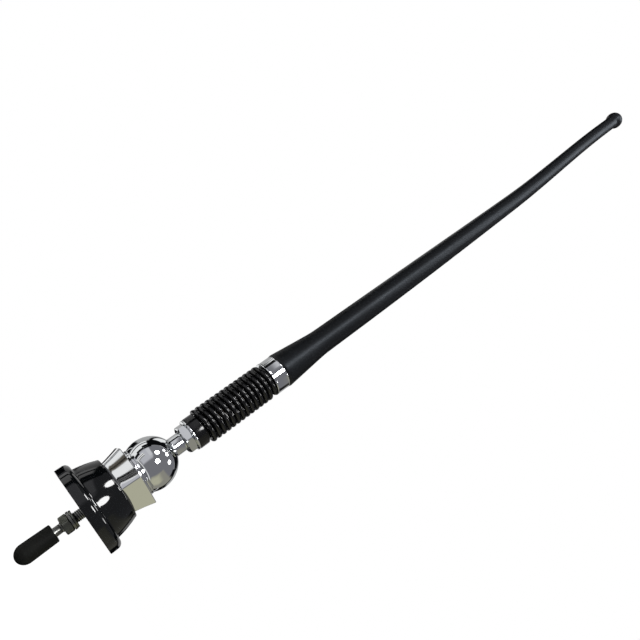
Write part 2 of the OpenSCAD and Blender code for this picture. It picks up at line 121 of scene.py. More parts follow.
class AntennaSizes(PropertyGroup):
    flange_height: length("Flange height", "Height of the base's flat flange", 5.95)
    flange_round: length("Flange rounding", "Radius of the flange's upper edge", 2.6)
    cone_low: length("Cone foot radius", "Radius of the cone where it leaves the flange", 17.8)
    cone_top: length("Cone top radius", "Radius of the cone at its top", 15.05)
    cone_bulge: length("Cone bulge", "How far the cone's side bulges", 0.35)
    cone_round: length("Cone rounding", "Radius of the cone's upper edge", 0.6)
    cone_groove: length("Cone groove", "Depth of the groove at the cone's foot", 0.3)
    pad_rim: length("Pad rim", "Rim of the flange around the rubber pad", 2.4)
    pad_depth: length("Pad depth", "Depth of the pad's seat", 1.5)
    stud_hole: length("Stud hole", "Radius of the base's hole for the stud", 3.1)
    hexagon_low: length("Socket foot", "Radius to the corners at the foot of the socket", 14.1)
    hexagon_top: length("Socket top", "Radius to the corners at the top of the socket", 16.5)
    hexagon_height: length("Socket height", "Height of the hexagon", 9.2)
    socket_hole: length("Socket hole", "Radius of the socket's hole for the stud", 3)
    socket_soft: length("Socket corners", "How far the socket's corners are softened", 0.08)
    socket_bulge: length("Socket sides", "How far the socket's sides bulge", 0.2)
    bowl_gap: length("Bowl gap", "Gap between the ball and the socket's bowl", 0.3)
    lip: length("Lip radius", "Radius of the lip on the socket", 11.65)
    ball_wall: length("Ball wall", "Wall thickness of the hollow ball", 2.85)
    ball_top: length("Ball top hole", "Radius of the ball's opening under the stem", 3)
    slot_width: length("Slot width", "Width of the ball's slot", 5.6)
    stud: length("Stud radius", "Outer radius of the stud's thread", 2.5)
    thread_pitch: length("Thread pitch", "Pitch of the stud's thread", 0.8)
    rivet: length("Rivet radius", "Radius of the stud's upper end", 1.9)
    pin: length("Pin radius", "Radius of the contact pin", 2.03)
    nut_flats: length("Nut width", "Width across the flats of the nut on the stud", 8)
    mouth: length("Boot mouth", "Outer radius of the boot at its mouth", 4.15)
    stem: length("Stem radius", "Radius of the stem on the ball", 4.675)
    stem_thread: length("Stem thread", "Radius of the stem's upper thread", 3.9)
    jam_flats: length("Jam nut width", "Width across the flats of the jam nut", 13)
    wire: length("Spring wire", "Thickness of the spring's wire", 2.6)
    pitch: length("Spring pitch", "Rise of the spring per turn", 2.86)
    strand: length("Braid strand", "Thickness of the strand on the braid", 0.45)
    foot: length("Mast foot", "Largest radius of the mast's foot", 9.35)
    shaft_low: length("Shaft radius, low", "Radius of the mast above its foot", 6.9)
    shaft_top: length("Shaft radius, top", "Radius of the mast under its tip", 4.55)
    tip: length("Tip radius", "Radius of the round tip", 6.0)
    mast_sides: IntProperty(name="Mast sides", description="Faces around the mast", default=64, min=12)


class AntennaColours(PropertyGroup):
    plastic: colour("Base", "Glossy black base", "#050607")
    rubber: colour("Mast", "Satin rubber of the mast", "#0c0f12")
    rubber_deep: colour("Mast, deeper", "Second tone of the mast's rubber", "#090b0d")
    vinyl: colour("Boot", "Matte vinyl of the boot", "#0c0d0b")
    vinyl_pale: colour("Boot, paler", "Second tone of the boot's vinyl", "#11120f")
    gasket: colour("Pad", "Rubber pad under the base", "#1c1c1c")
    enamel: colour("Spring", "Black coating of the spring", "#040405")
    chrome: colour("Chrome", "Bright plating", "#dfe1e2")
    zinc: colour("Dull zinc", "Dark plating of nut and washer", "#76786f")
    steel: colour("Steel", "Stud, pin and lock washer", "#8b8c88")
    brass: colour("Brass", "Braid inside the spring", "#b08d4c")
    floor: colour("Floor", "Pale studio floor", "#f4f4f4")


def sizes():
    return bpy.context.scene.antenna_sizes


def colours():
    return bpy.context.scene.antenna_colours


# Nodes and materials

def add(tree, kind, inputs=None, **settings):
    """Adds a node. A socket among its inputs is linked, and any other value is set."""
    node = tree.nodes.new(kind)
    for key, value in settings.items():
        setattr(node, key, value)
    for socket, value in (inputs or {}).items():
        if isinstance(value, bpy.types.NodeSocket):
            tree.links.new(value, node.inputs[socket])
        else:
            node.inputs[socket].default_value = value
    return node


def new_material(name):
    material = bpy.data.materials.new(name)
    material.use_nodes = True
    material.node_tree.nodes.clear()
    return material, material.node_tree


def surface(tree, inputs):
    """Ends a material with a shader that has the given inputs."""
    shader = add(tree, "ShaderNodeBsdfPrincipled", inputs)
    add(tree, "ShaderNodeOutputMaterial", {"Surface": shader.outputs["BSDF"]})


def mottled(tree, pattern, first, second):
    """A colour that wanders between two tones along a 0 to 1 pattern."""
    return add(tree, "ShaderNodeMix", {
        "Factor": spread(tree, pattern, 0.0, 1.0), "A": first, "B": second},
        data_type="RGBA").outputs["Result"]


def grain(tree, size_mm, detail, stretch=(1, 1, 1)):
    """Noise over the piece whose lumps are size_mm across."""
    place = add(tree, "ShaderNodeTexCoord")
    scaled = add(tree, "ShaderNodeMapping", {"Vector": place.outputs["Object"], "Scale": stretch})
    return add(tree, "ShaderNodeTexNoise", {
        "Vector": scaled.outputs["Vector"], "Scale": 1 / (size_mm * MM), "Detail": detail})


def spread(tree, value, low, high):
    """Maps a 0 to 1 pattern to the range low to high."""
    return add(tree, "ShaderNodeMapRange", {
        "Value": value, "From Min": 0.25, "From Max": 0.75, "To Min": low, "To Max": high}).outputs[0]


def dents(tree, height, depth_mm):
    return add(tree, "ShaderNodeBump", {"Height": height, "Distance": depth_mm * MM}).outputs["Normal"]


def chrome_plate():
    """Decorative chrome on buffed zinc or brass: a mirror with faint buffing haze."""
    material, tree = new_material("chrome_plate_buffed")
    haze = grain(tree, 6, detail=2)
    ripple = grain(tree, 9, detail=1)
    surface(tree, {
        "Base Color": colours().chrome, "Metallic": 1.0,
        "Roughness": spread(tree, haze.outputs[0], 0.015, 0.05),
        "Normal": dents(tree, ripple.outputs[0], 0.003)})
    return material


def glossy_abs():
    """Injection-moulded ABS from a polished mould: deep black with a clear, slightly wavy gloss."""
    material, tree = new_material("abs_moulded_gloss")
    wave = grain(tree, 5, detail=1)
    smear = grain(tree, 4, detail=4)
    surface(tree, {
        "Base Color": colours().plastic, "IOR": 1.47,
        "Roughness": spread(tree, smear.outputs[0], 0.04, 0.09),
        "Coat Weight": 0.2, "Coat Roughness": 0.03, "Coat IOR": 1.45,
        "Normal": dents(tree, wave.outputs[0], 0.012)})
    return material


def mast_rubber():
    """Moulded rubber: satin, with the fine skin of a blasted mould and a faint bluish bloom."""
    material, tree = new_material("rubber_moulded_satin")
    bloom = grain(tree, 14, detail=3)
    skin = grain(tree, 0.35, detail=2)
    tone = mottled(tree, bloom.outputs[0], colours().rubber, colours().rubber_deep)
    surface(tree, {
        "Base Color": tone, "IOR": 1.45, "Specular IOR Level": 0.4,
        "Roughness": spread(tree, bloom.outputs[0], 0.38, 0.45),
        "Normal": dents(tree, skin.outputs[0], 0.012)})
    return material


def soft_vinyl():
    """Dipped vinyl: matte and slightly pebbled."""
    material, tree = new_material("vinyl_dipped_matte")
    pebble = grain(tree, 0.5, detail=3)
    cloud = grain(tree, 5, detail=2)
    tone = mottled(tree, cloud.outputs[0], colours().vinyl, colours().vinyl_pale)
    surface(tree, {
        "Base Color": tone, "IOR": 1.45, "Specular IOR Level": 0.16,
        "Roughness": spread(tree, pebble.outputs[0], 0.52, 0.66),
        "Normal": dents(tree, pebble.outputs[0], 0.02)})
    return material


def spring_enamel():
    """Powder-coated spring steel: black gloss, softer than the base, with a light orange peel."""
    material, tree = new_material("powder_coat_gloss")
    peel = grain(tree, 0.8, detail=2)
    surface(tree, {
        "Base Color": colours().enamel, "IOR": 1.43,
        "Roughness": spread(tree, peel.outputs[0], 0.14, 0.2),
        "Coat Weight": 0.1, "Coat Roughness": 0.06,
        "Normal": dents(tree, peel.outputs[0], 0.003)})
    return material


def plated(name, tint, low, high, grit_mm, depth_mm):
    """Plated steel or plain brass: metallic and cloudy, with the marks of turning or pressing."""
    material, tree = new_material(name)
    cloud = grain(tree, 1.5, detail=4)
    grit = grain(tree, grit_mm, detail=3, stretch=(1, 1, 4))
    dark = tuple(c * 0.7 for c in tint[:3]) + (1.0,)
    tone = mottled(tree, cloud.outputs[0], dark, tint)
    surface(tree, {
        "Base Color": tone, "Metallic": 1.0,
        "Roughness": spread(tree, cloud.outputs[0], low, high),
        "Normal": dents(tree, grit.outputs[0], depth_mm)})
    return material


def gasket_rubber():
    """Pressed foam rubber sheet: dull and open-grained."""
    material, tree = new_material("foam_rubber_pressed")
    cells = grain(tree, 0.4, detail=4)
    surface(tree, {
        "Base Color": colours().gasket, "IOR": 1.5, "Specular IOR Level": 0.25,
        "Roughness": spread(tree, cells.outputs[0], 0.8, 0.95),
        "Normal": dents(tree, cells.outputs[0], 0.06)})
    return material


def make_materials():
    """Every finish by the record's material slot."""
    c = colours()
    return {
        "chrome_plate": chrome_plate(),
        "glossy_abs": glossy_abs(),
        "mast_rubber": mast_rubber(),
        "soft_vinyl": soft_vinyl(),
        "black_enamel": spring_enamel(),
        "dull_zinc": plated("zinc_passivated_dull", tuple(c.zinc), 0.18, 0.32, 0.3, 0.01),
        "zinc_steel": plated("zinc_bright_turned", tuple(c.steel), 0.24, 0.4, 0.2, 0.008),
        "brass": plated("brass_turned", tuple(c.brass), 0.22, 0.35, 0.3, 0.006),
        "seal_rubber": gasket_rubber(),
    }


MATERIALS = {}


def material_for(slot):
    if not MATERIALS:
        MATERIALS.update(make_materials())
    return MATERIALS[slot]


# Mesh makers

def rounded(corners, steps=5):
    """An outline in the r-z plane from (r, z, radius) corners, with an arc where a corner has a radius."""
    points = []
    for i, corner in enumerate(corners):
        here, radius = Vector(corner[:2]), corner[2] if len(corner) > 2 else 0
        if not radius or i in (0, len(corners) - 1):
            points.append(here)
            continue
        before = (Vector(corners[i - 1][:2]) - here).normalized()
        after = (Vector(corners[i + 1][:2]) - here).normalized()
        half = before.angle(after) / 2
        back = radius / math.tan(half)
        centre = here + (before + after).normalized() * (radius / math.sin(half))
        start, end = here + before * back - centre, here + after * back - centre
        turn = start.angle_signed(end)
        for k in range(steps + 1):
            points.append(centre + Matrix.Rotation(-turn * k / steps, 2) @ start)
    return points


def face_outwards(mesh, merge=False):
    """Turns the normals outwards, after merging the vertices that share a place if asked to."""
    shape = bmesh.new()
    shape.from_mesh(mesh)
    if merge:
        bmesh.ops.remove_doubles(shape, verts=shape.verts, dist=1e-7)
    bmesh.ops.recalc_face_normals(shape, faces=shape.faces)
    shape.to_mesh(mesh)
    shape.free()


def apply_modifiers(obj):
    depsgraph = bpy.context.evaluated_depsgraph_get()
    obj.data = bpy.data.meshes.new_from_object(obj.evaluated_get(depsgraph))
    obj.modifiers.clear()


def mesh_object(name, vertices, faces, slot, sharp_angle=40):
    """A smooth mesh object with its sharp edges kept."""
    mesh = bpy.data.meshes.new(name)
    mesh.from_pydata(vertices, [], faces)
    face_outwards(mesh, merge=True)
    obj = bpy.data.objects.new(name, mesh)
    bpy.context.scene.collection.objects.link(obj)
    return dress(obj, slot, sharp_angle)


def dress(obj, slot, sharp_angle=40):
    """Gives a piece its finish and its shading."""
    obj.data.materials.clear()
    obj.data.materials.append(material_for(slot))
    obj.data.shade_smooth()
    obj.data.set_sharp_from_angle(angle=math.radians(sharp_angle))
    return obj


def skin_faces(rings, sides, closed):
    """Quads between neighbouring rings, and a cap at both ends unless the rings close on themselves."""
    faces = []
    for k in range(rings if closed else rings - 1):
        low, high = k * sides, (k + 1) % rings * sides
        for i in range(sides):
            j = (i + 1) % sides
            faces.append((low + i, low + j, high + j, high + i))
    if not closed:
        faces.append(tuple(reversed(range(sides))))
        faces.append(tuple(range((rings - 1) * sides, rings * sides)))
    return faces


def lathe(name, outline, slot, closed=False, sides=ROUND):
    """Turns an outline of (r, z) points round the Z axis. A closed outline makes a ring."""
    vertices = []
    for r, z in outline:
        for i in range(sides):
            a = 2 * math.pi * i / sides
            vertices.append((max(r, 0) * math.cos(a), max(r, 0) * math.sin(a), z))
    return mesh_object(name, vertices, skin_faces(len(outline), sides, closed), slot)


def hexagon_radius(angle, corner_r, soft, bulge=0.0):
    """Distance from the axis to a hexagon's side at an angle from its middle, with softened corners."""
    off = (angle + math.pi / 6) % (math.pi / 3) - math.pi / 6
    flat = corner_r * math.cos(math.pi / 6)
    side = (flat + bulge * (1 - (math.tan(off) / math.tan(math.pi / 6)) ** 2)) / math.cos(off)
    trim = corner_r - soft
    return (side + trim) / 2 - math.sqrt(((side - trim) / 2) ** 2 + (soft * 0.35) ** 2)


# Degrees from a hexagon's corner to its rings' vertices, close together where the side turns
CORNER_STEPS = (0, 0.3, 0.6, 1, 2, 5, 10, 15, 20, 25)


def hexagon_angles():
    """Angles of a ring's vertices round a hexagon whose sides face 0, 60 and so on."""
    corners = [math.radians(30 + 60 * k) for k in range(6)]
    steps = [math.radians(step) for step in CORNER_STEPS]
    return sorted([c + step for c in corners for step in steps + [math.radians(30)]]
                  + [c - step for c in corners for step in steps[1:]])


def loft(name, levels, slot, turn):
    """Rings round the Z axis whose radius may change with the angle. A level is (z, radius function)."""
    angles = hexagon_angles()
    vertices = []
    for z, radius_at in levels:
        for a in angles:
            r = radius_at(a)
            vertices.append((r * math.cos(a + turn), r * math.sin(a + turn), z))
    return mesh_object(name, vertices, skin_faces(len(levels), len(angles), True), slot, sharp_angle=35)


def place(obj, body, node=None):
    """Rides a piece on its body and lets it stand for its CAD node."""
    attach(obj, body)
    if node:
        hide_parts(node)


def helix_tree():
    """Geometry nodes for a coil: a line bent into a helix, with a round wire swept along it."""
    tree = bpy.data.node_groups.new("coil_on_axis", "GeometryNodeTree")
    panel = tree.interface
    panel.new_socket("Geometry", in_out="OUTPUT", socket_type="NodeSocketGeometry")
    for title, kind in (("Radius", "NodeSocketFloat"), ("Start", "NodeSocketFloat"),
                        ("Height", "NodeSocketFloat"), ("Turns", "NodeSocketFloat"),
                        ("Start Angle", "NodeSocketFloat"), ("Wire Radius", "NodeSocketFloat"),
                        ("Points", "NodeSocketInt"),
                        ("Wire Sides", "NodeSocketInt"), ("Material", "NodeSocketMaterial")):
        panel.new_socket(title, in_out="INPUT", socket_type=kind)
    given = add(tree, "NodeGroupInput").outputs
    line = add(tree, "GeometryNodeCurvePrimitiveLine")
    points = add(tree, "GeometryNodeResampleCurve", {
        "Curve": line.outputs["Curve"], "Count": given["Points"]})
    along = add(tree, "GeometryNodeSplineParameter").outputs["Factor"]

    def calculate(operation, a, b=0.0):
        return add(tree, "ShaderNodeMath", {0: a, 1: b}, operation=operation).outputs[0]

    swept = calculate("MULTIPLY", calculate("MULTIPLY", along, given["Turns"]), 2 * math.pi)
    angle = calculate("ADD", swept, given["Start Angle"])
    spot = add(tree, "ShaderNodeCombineXYZ", {
        "X": calculate("MULTIPLY", calculate("COSINE", angle), given["Radius"]),
        "Y": calculate("MULTIPLY", calculate("SINE", angle), given["Radius"]),
        "Z": calculate("ADD", calculate("MULTIPLY", along, given["Height"]), given["Start"])})
    coil = add(tree, "GeometryNodeSetPosition", {
        "Geometry": points.outputs["Curve"], "Position": spot.outputs[0]})
    ring = add(tree, "GeometryNodeCurvePrimitiveCircle", {
        "Resolution": given["Wire Sides"], "Radius": given["Wire Radius"]})
    level = add(tree, "GeometryNodeSetCurveNormal", {"Curve": coil.outputs["Geometry"]})
    level.mode = "Z_UP"
    tube = add(tree, "GeometryNodeCurveToMesh", {
        "Curve": level.outputs["Curve"], "Profile Curve": ring.outputs["Curve"], "Fill Caps": True})
    real = add(tree, "GeometryNodeRealizeInstances", {"Geometry": tube.outputs["Mesh"]})
    dressed = add(tree, "GeometryNodeSetMaterial", {
        "Geometry": real.outputs["Geometry"], "Material": given["Material"]})
    add(tree, "NodeGroupOutput", {"Geometry": dressed.outputs["Geometry"]})
    return tree


def coil(name, slot, values, sharp_angle=40):
    """A plain mesh coil from the helix nodes, with the given input values by name."""
    tree = bpy.data.node_groups.get("coil_on_axis") or helix_tree()
    obj = bpy.data.objects.new(name, bpy.data.meshes.new(name))
    bpy.context.scene.collection.objects.link(obj)
    maker = obj.modifiers.new("coil", "NODES")
    maker.node_group = tree
    values = dict(values, Material=material_for(slot))
    for item in tree.interface.items_tree:
        if item.in_out == "INPUT":
            maker[item.identifier] = values[item.name]
    apply_modifiers(obj)
    face_outwards(obj.data)
    return dress(obj, slot, sharp_angle)


def hexagon_nut(name, slot, node, flats, bore, corner_turn, bevel):
    """A nut as high as its node, with chamfers that cut arcs into its flats."""
    _, low_z, high_z = reach(node)
    corner = flats / 2 / math.cos(math.pi / 6)
    round_r = flats / 2 - bevel * 0.25
    turn = math.radians(corner_turn + 30)

    def section(a):
        """The nut's outline at an angle from the middle of a side."""
        side = hexagon_radius(a, corner, bevel * 0.12)
        drop = max(side - round_r, 0) * math.tan(math.radians(30))
        return ((bore, low_z), (round_r, low_z), (side, low_z + drop),
                (side, high_z - drop), (round_r, high_z), (bore, high_z))

    angles = [2 * math.pi * i / ROUND for i in range(ROUND)]
    rings = list(zip(*[section(a) for a in angles]))
    vertices = [(r * math.cos(a + turn), r * math.sin(a + turn), z)
                for ring in rings for a, (r, z) in zip(angles, ring)]
    return mesh_object(name, vertices, skin_faces(len(rings), ROUND, True), slot, sharp_angle=22)


def flat_ring(name, slot, node, inner, edge):
    """A washer as wide and thick as its node, with a rounded rim."""
    outer, low_z, high_z = reach(node)
    outline = rounded([(inner, low_z), (outer, low_z, edge), (outer, high_z, edge), (inner, high_z)], 3)
    return lathe(name, outline, slot, closed=True)


# Pieces

def make_housing():
    s = sizes()
    flange, _, top_z = reach("base_housing")
    pad = flange - s.pad_rim
    edge_z = top_z - s.cone_round
    body = [(s.stud_hole, s.pad_depth), (pad, s.pad_depth), (pad, 0.0), (flange - 0.15 * MM, 0.0),
            (flange, 0.15 * MM)]
    for k in range(11):
        a = math.pi / 2 * k / 10
        body.append((flange - s.flange_round * (1 - math.cos(a)),
                     s.flange_height - s.flange_round * (1 - math.sin(a))))
    groove = s.cone_groove
    body += [(s.cone_low + 2 * groove, s.flange_height),
             (s.cone_low + 1.2 * groove, s.flange_height - groove),
             (s.cone_low + 0.6 * groove, s.flange_height - groove)]
    for k in range(17):
        t = k / 16
        body.append((s.cone_low + (s.cone_top - s.cone_low) * t + s.cone_bulge * 4 * t * (1 - t),
                     s.flange_height + (edge_z - s.flange_height) * t))
    for k in range(1, 8):
        a = math.pi / 2 * k / 7
        body.append((s.cone_top - s.cone_round * (1 - math.cos(a)), edge_z + s.cone_round * math.sin(a)))
    body.append((s.stud_hole, top_z))
    place(lathe("base_shell", body, "glossy_abs", closed=True, sides=192), "base", "base_housing")


def make_socket():
    s = sizes()
    low_z = reach("base_housing")[2]
    ring_r, ring_z, ring_top_z = reach("seat_ring")
    ball_r = reach("swivel_ball")[0]
    top_z = low_z + s.hexagon_height
    foot_z = low_z + 0.35 * MM

    def six(corner, inset=0.0):
        return lambda a: hexagon_radius(a, corner, s.socket_soft, s.socket_bulge) - inset

    def circle(r):
        return lambda a: r

    levels = [(low_z, circle(s.socket_hole)), (low_z, six(s.hexagon_low, 0.35 * MM)),
              (low_z + 0.1 * MM, six(s.hexagon_low, 0.1 * MM)), (foot_z, six(s.hexagon_low))]
    wall, flare = top_z - 0.3 * MM - foot_z, 1.15
    for k in range(1, 9):
        t = k / 8
        corner = s.hexagon_low + (s.hexagon_top - s.hexagon_low) * t ** flare
        levels.append((foot_z + wall * t, six(corner)))
    levels += [(top_z - 0.28 * MM, six(s.hexagon_top, 0.02 * MM)),
               (top_z - 0.1 * MM, six(s.hexagon_top, 0.12 * MM)), (top_z, six(s.hexagon_top, 0.35 * MM)),
               (top_z, circle(s.lip + 0.25 * MM)), (top_z + 0.08 * MM, circle(s.lip + 0.06 * MM)),
               (top_z + 0.25 * MM, circle(s.lip)), (ring_z - 0.25 * MM, circle(s.lip)),
               (ring_z - 0.06 * MM, circle(s.lip - 0.08 * MM)), (ring_z, circle(s.lip - 0.25 * MM))]
    centre_z = ball_centre()
    bowl = ball_r + s.bowl_gap
    for k in range(9):
        z = ring_z + (centre_z - bowl * 0.97 - ring_z) * k / 8
        levels.append((z, circle(math.sqrt(bowl ** 2 - (z - centre_z) ** 2))))
    levels.append((levels[-1][0], circle(s.socket_hole)))
    hexagon = loft("socket_hexagon", levels, "chrome_plate", math.radians(SOCKET_TURN + 30))
    place(hexagon, "base", "swivel_socket")
    outline = rounded([(ring_r - 0.9 * MM, ring_z), (ring_r, ring_z, 0.1 * MM),
                       (ring_r, ring_top_z, 0.18 * MM), (ring_r - 0.3 * MM, ring_top_z)], 4)
    place(lathe("seat_band", outline, "chrome_plate", closed=True), "base", "seat_ring")


def slot_cutters(ball_r):
    """A fan as wide as the slot and a round post at each of its ends, all from the ball's centre."""
    centre, half, far = ball_centre(), sizes().slot_width / 2, ball_r * 1.3
    tilt = math.radians(joint("swivel_tilt")["range_deg"][1])
    shape = bmesh.new()
    corners = [(0, 0)] + [(far * math.sin(tilt * k / 8), -far * math.cos(tilt * k / 8)) for k in range(-8, 9)]
    front = [shape.verts.new((x, -half, centre + z)) for x, z in corners]
    back = [shape.verts.new((x, half, centre + z)) for x, z in corners]
    shape.faces.new(front)
    shape.faces.new(reversed(back))
    for i in range(len(corners)):
        j = (i + 1) % len(corners)
        shape.faces.new((front[i], back[i], back[j], front[j]))
    bmesh.ops.recalc_face_normals(shape, faces=shape.faces)
    fan = bpy.data.meshes.new("slot_fan")
    shape.to_mesh(fan)
    shape.free()
    cutters = [fan]
    for side in (-1, 1):
        post = bmesh.new()
        bmesh.ops.create_cone(post, cap_ends=True, segments=48, radius1=half, radius2=half, depth=far)
        turn = Matrix.Translation((0, 0, centre)) @ Matrix.Rotation(side * tilt, 4, "Y")
        bmesh.ops.transform(post, matrix=turn @ Matrix.Translation((0, 0, -far / 2 - half)), verts=post.verts)
        mesh = bpy.data.meshes.new("slot_post")
        post.to_mesh(mesh)
        post.free()
        cutters.append(mesh)
    return [bpy.data.objects.new("slot_cutter", mesh) for mesh in cutters]


def make_ball():
    s = sizes()
    ball_r, centre = reach("swivel_ball")[0], ball_centre()

    def shell(radius, steps):
        """Half circle from the ball's lowest point to the edge of its top opening."""
        sweep = math.pi - math.asin(s.ball_top / radius)
        for k in range(steps + 1):
            a = -math.pi / 2 + sweep * k / steps
            yield radius * math.cos(a), centre + radius * math.sin(a)

    outline = list(shell(ball_r, 80)) + list(shell(ball_r - s.ball_wall, 40))[::-1]
    ball = lathe("ball_shell", outline, "chrome_plate", sides=160)
    cutters = slot_cutters(ball_r)
    for cutter in cutters:
        bpy.context.scene.collection.objects.link(cutter)
        cut = ball.modifiers.new("slot", "BOOLEAN")
        cut.operation, cut.object, cut.solver = "DIFFERENCE", cutter, "EXACT"
    apply_modifiers(ball)
    for cutter in cutters:
        bpy.data.objects.remove(cutter)
    dress(ball, "chrome_plate", 30)
    place(ball, "ball", "swivel_ball")


def make_stem():
    s = sizes()
    low_z = reach("jam_nut")[1]
    ball_r, centre = reach("swivel_ball")[0], ball_centre()
    seat_z = centre + math.sqrt(ball_r ** 2 - s.stem ** 2)
    outline = [(2.5 * MM, seat_z - 0.8 * MM), (s.stem + 0.22 * MM, seat_z - 0.1 * MM),
               (s.stem + 0.05 * MM, seat_z + 0.12 * MM), (s.stem, seat_z + 0.4 * MM)]
    outline += [(s.stem, low_z - 0.5 * MM), (s.stem - 0.1 * MM, low_z - 0.15 * MM),
                (s.stem - 0.4 * MM, low_z), (s.stem_thread, low_z),
                (s.stem_thread, reach("jam_washer")[2] + 2 * MM)]
    place(lathe("stem_neck", outline, "chrome_plate"), "ball", "ball_stem")


def make_jam_nut():
    s = sizes()
    nut = hexagon_nut("jam_nut_hexagon", "chrome_plate", "jam_nut", s.jam_flats, s.stem_thread + 0.1 * MM,
                      JAM_TURN, 1.2 * MM)
    place(nut, "ball", "jam_nut")
    ring = flat_ring("jam_washer_ring", "chrome_plate", "jam_washer", s.stem_thread + 0.2 * MM, 0.3 * MM)
    place(ring, "ball", "jam_washer")


def bend(piece):
    """Bakes a piece's placement into its mesh."""
    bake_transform(piece)


def make_spring():
    s = sizes()
    collar, low_z, _ = reach("lower_plug")
    _, spring_z, spring_top_z = reach("coil_spring")
    floor_z = spring_z - 0.03 * MM
    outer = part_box("coil_spring")[1].x
    plug_r = outer - s.wire - 0.1 * MM
    bore, plug_z = s.stem_thread + 0.1 * MM, floor_z + 7 * MM
    outline = rounded([(bore, low_z), (collar, low_z, 0.35 * MM), (collar, floor_z, 0.3 * MM),
                       (plug_r, floor_z), (plug_r, plug_z, 0.6 * MM), (bore, plug_z)])
    place(lathe("spring_collar", outline, "black_enamel", closed=True), "ball", "lower_plug")

    height = spring_top_z - spring_z - s.wire
    turns = height / s.pitch
    spring = coil("spring_coil", "black_enamel", {
        "Radius": outer - s.wire / 2, "Start": spring_z + s.wire / 2, "Height": height,
        "Turns": turns, "Start Angle": math.pi, "Wire Radius": s.wire / 2,
        "Points": int(turns * 72), "Wire Sides": 20})
    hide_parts("coil_spring")
    bend(spring)


def make_braid():
    """A round core with one strand wound on it."""
    strand = sizes().strand
    braid_r, low_z, high_z = reach("inner_braid")
    height = high_z - low_z
    side = [(braid_r - strand, low_z + height * k / 24) for k in range(25)]
    core = lathe("braid_core", [(0, low_z)] + side + [(0, high_z)], "brass", sides=24)
    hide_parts("inner_braid")
    bend(core)
    wrap = coil("braid_wrap", "brass", {
        "Radius": braid_r - strand / 2, "Start": low_z + strand, "Height": height - 2 * strand,
        "Turns": height / (strand * 2.2), "Start Angle": 0.0, "Wire Radius": strand / 2,
        "Points": 900, "Wire Sides": 6})
    bend(wrap)


def make_ferrule():
    outer, low_z, high_z = reach("ferrule")
    inner, lip, band = outer - 1 * MM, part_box("coil_spring")[1].x - sizes().wire, outer - 0.07 * MM
    outline = rounded([(inner, low_z + 1 * MM), (lip, low_z + 1 * MM), (lip, low_z),
                       (outer, low_z, 0.35 * MM), (outer, low_z + 1.0 * MM),
                       (band, low_z + 1.12 * MM, 0.1 * MM), (band, high_z - 0.7 * MM, 0.1 * MM),
                       (outer, high_z - 0.6 * MM), (outer, high_z, 0.3 * MM), (inner, high_z)])
    place(lathe("ferrule_sleeve", outline, "chrome_plate", closed=True, sides=160), "mast", "ferrule")


# Shape of the mast: heights above the ferrule in millimetres, with the same law as the solid
MAST_LENGTH = 357
FOOT_EDGE = 1.4
FLARE_LENGTH = 25.5
SHAFT_BELLY = 0.3
BLEND = 0.12
BOW = 1.15
SET_SHIFT = 3.2
SET_FROM, SET_TO = 205, 330


def ease(t):
    u = max(0.0, min(1.0, t))
    return u * u * (3 - 2 * u)


def soft_max(a, b, k):
    return (a + b) / 2 + math.sqrt((a - b) ** 2 / 4 + k * k)


def mast_set(h):
    """Sideways place of the mast's centre line, in millimetres."""
    bow = BOW * (max(0, h) / SET_FROM) ** 2
    return -(bow + SET_SHIFT * ease((h - SET_FROM) / (SET_TO - SET_FROM)))


def mast_radius(h, s):
    """Outer radius of the mast in millimetres."""
    tip = s.tip / MM
    tip_h = MAST_LENGTH - tip
    t = h / (tip_h - tip)
    low, top = s.shaft_low / MM, s.shaft_top / MM
    shaft = low + (top - low) * t + SHAFT_BELLY * math.sin(2 * math.pi * t)
    flare = s.foot / MM + (low - s.foot / MM) * (h - FOOT_EDGE) / FLARE_LENGTH
    ball = math.sqrt(max(0, tip ** 2 - (h - tip_h) ** 2))
    if h > tip_h:
        return ball
    return soft_max(soft_max(shaft, flare, BLEND), ball, BLEND)


def make_mast():
    s = sizes()
    foot_z = reach("ferrule")[2]
    tip = s.tip / MM
    tip_h = MAST_LENGTH - tip
    heights = [FOOT_EDGE + (FLARE_LENGTH * 1.3) * k / 24 for k in range(25)]
    shaft_steps = 90
    last = heights[-1]
    heights += [last + (tip_h - 1.3 * tip - last) * k / shaft_steps for k in range(1, shaft_steps + 1)]
    heights += [tip_h + tip * math.sin(math.radians(a)) for a in range(-72, 88, 4)]
    foot = s.foot / MM
    rings = [(0.03, 3.0), (0.03, foot - 0.45), (0.12, foot - 0.25), (0.5, foot - 0.1), (0.95, foot - 0.02)]
    rings += [(h, mast_radius(h, s)) for h in heights]
    rings.append((MAST_LENGTH - 0.001, 0.15))
    vertices = []
    for h, r in rings:
        for i in range(s.mast_sides):
            a = 2 * math.pi * i / s.mast_sides
            vertices.append(((mast_set(h) + r * math.cos(a)) * MM, r * math.sin(a) * MM, foot_z + h * MM))
    faces = skin_faces(len(rings), s.mast_sides, False)
    mast = mesh_object("mast_rubber_skin", vertices, faces, "mast_rubber")
    place(mast, "mast", "mast_sleeve")


